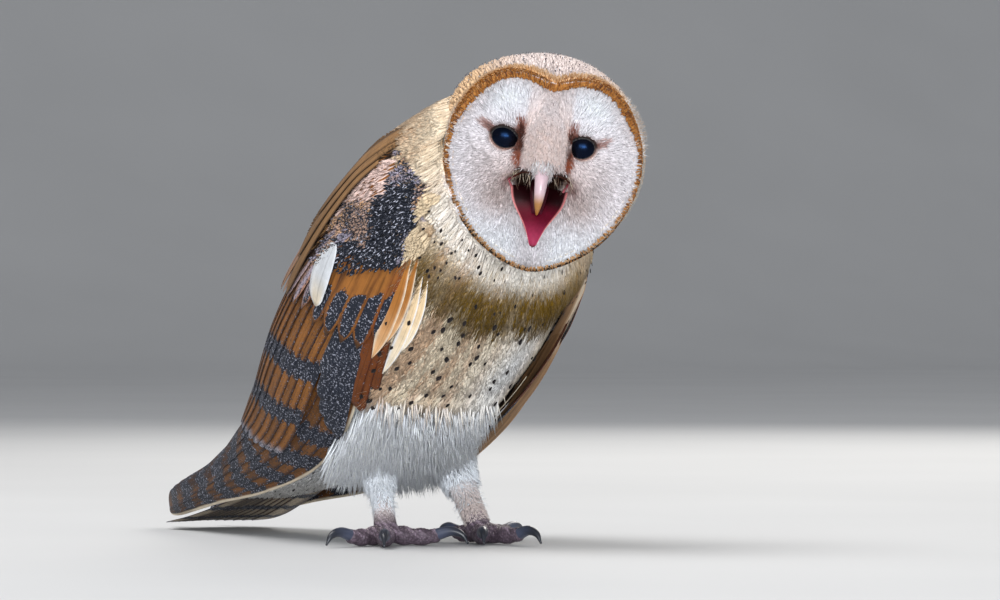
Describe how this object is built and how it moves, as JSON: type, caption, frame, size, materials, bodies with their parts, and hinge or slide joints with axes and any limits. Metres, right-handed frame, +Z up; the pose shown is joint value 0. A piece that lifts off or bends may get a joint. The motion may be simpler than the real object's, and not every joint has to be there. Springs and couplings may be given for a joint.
{
  "type": "barn owl",
  "caption": "Still, life-size barn owl that stands leaning forward, wings folded, its head turned to its right and its bill wide open.",
  "frame": {"origin": "on the floor, under the middle of the whole owl", "axes": "+Z up, the body points along -Y and the tail along +Y, and the owl's left side is towards +X"},
  "size_m": [0.1134, 0.3206, 0.1986],
  "materials": {
    "buff_plumage": "soft overlapping feathers",
    "white_plumage": "soft overlapping feathers",
    "cream_plumage": "soft overlapping feathers",
    "slate_plumage": "soft overlapping feathers",
    "amber_plumage": "smooth flight feathers",
    "eye": "wet, glossy",
    "bill": "smooth horn",
    "gape": "wet, glossy",
    "toe_skin": "scaly skin",
    "claw": "polished horn"
  },
  "bodies": {
    "root": {"head": "buff_plumage", "facial_disc": "white_plumage", "eye_right": "eye", "eye_left": "eye", "bill_upper": "bill", "bill_lower": "bill", "tongue": "gape", "neck": "buff_plumage", "trunk": "cream_plumage", "tail": "amber_plumage", "wing_right_coverts": "slate_plumage", "wing_right_secondaries": "amber_plumage", "wing_right_primaries": "amber_plumage", "wing_left_coverts": "slate_plumage", "wing_left_secondaries": "amber_plumage", "wing_left_primaries": "amber_plumage", "thigh_right": "white_plumage", "tarsus_right": "white_plumage", "foot_right": "toe_skin", "toe_right_outer": "toe_skin", "claw_right_outer": "claw", "toe_right_middle": "toe_skin", "claw_right_middle": "claw", "toe_right_inner": "toe_skin", "claw_right_inner": "claw", "toe_right_hind": "toe_skin", "claw_right_hind": "claw", "thigh_left": "white_plumage", "tarsus_left": "white_plumage", "foot_left": "toe_skin", "toe_left_outer": "toe_skin", "claw_left_outer": "claw", "toe_left_middle": "toe_skin", "claw_left_middle": "claw", "toe_left_inner": "toe_skin", "claw_left_inner": "claw", "toe_left_hind": "toe_skin", "claw_left_hind": "claw"}
  },
  "joints": []
}
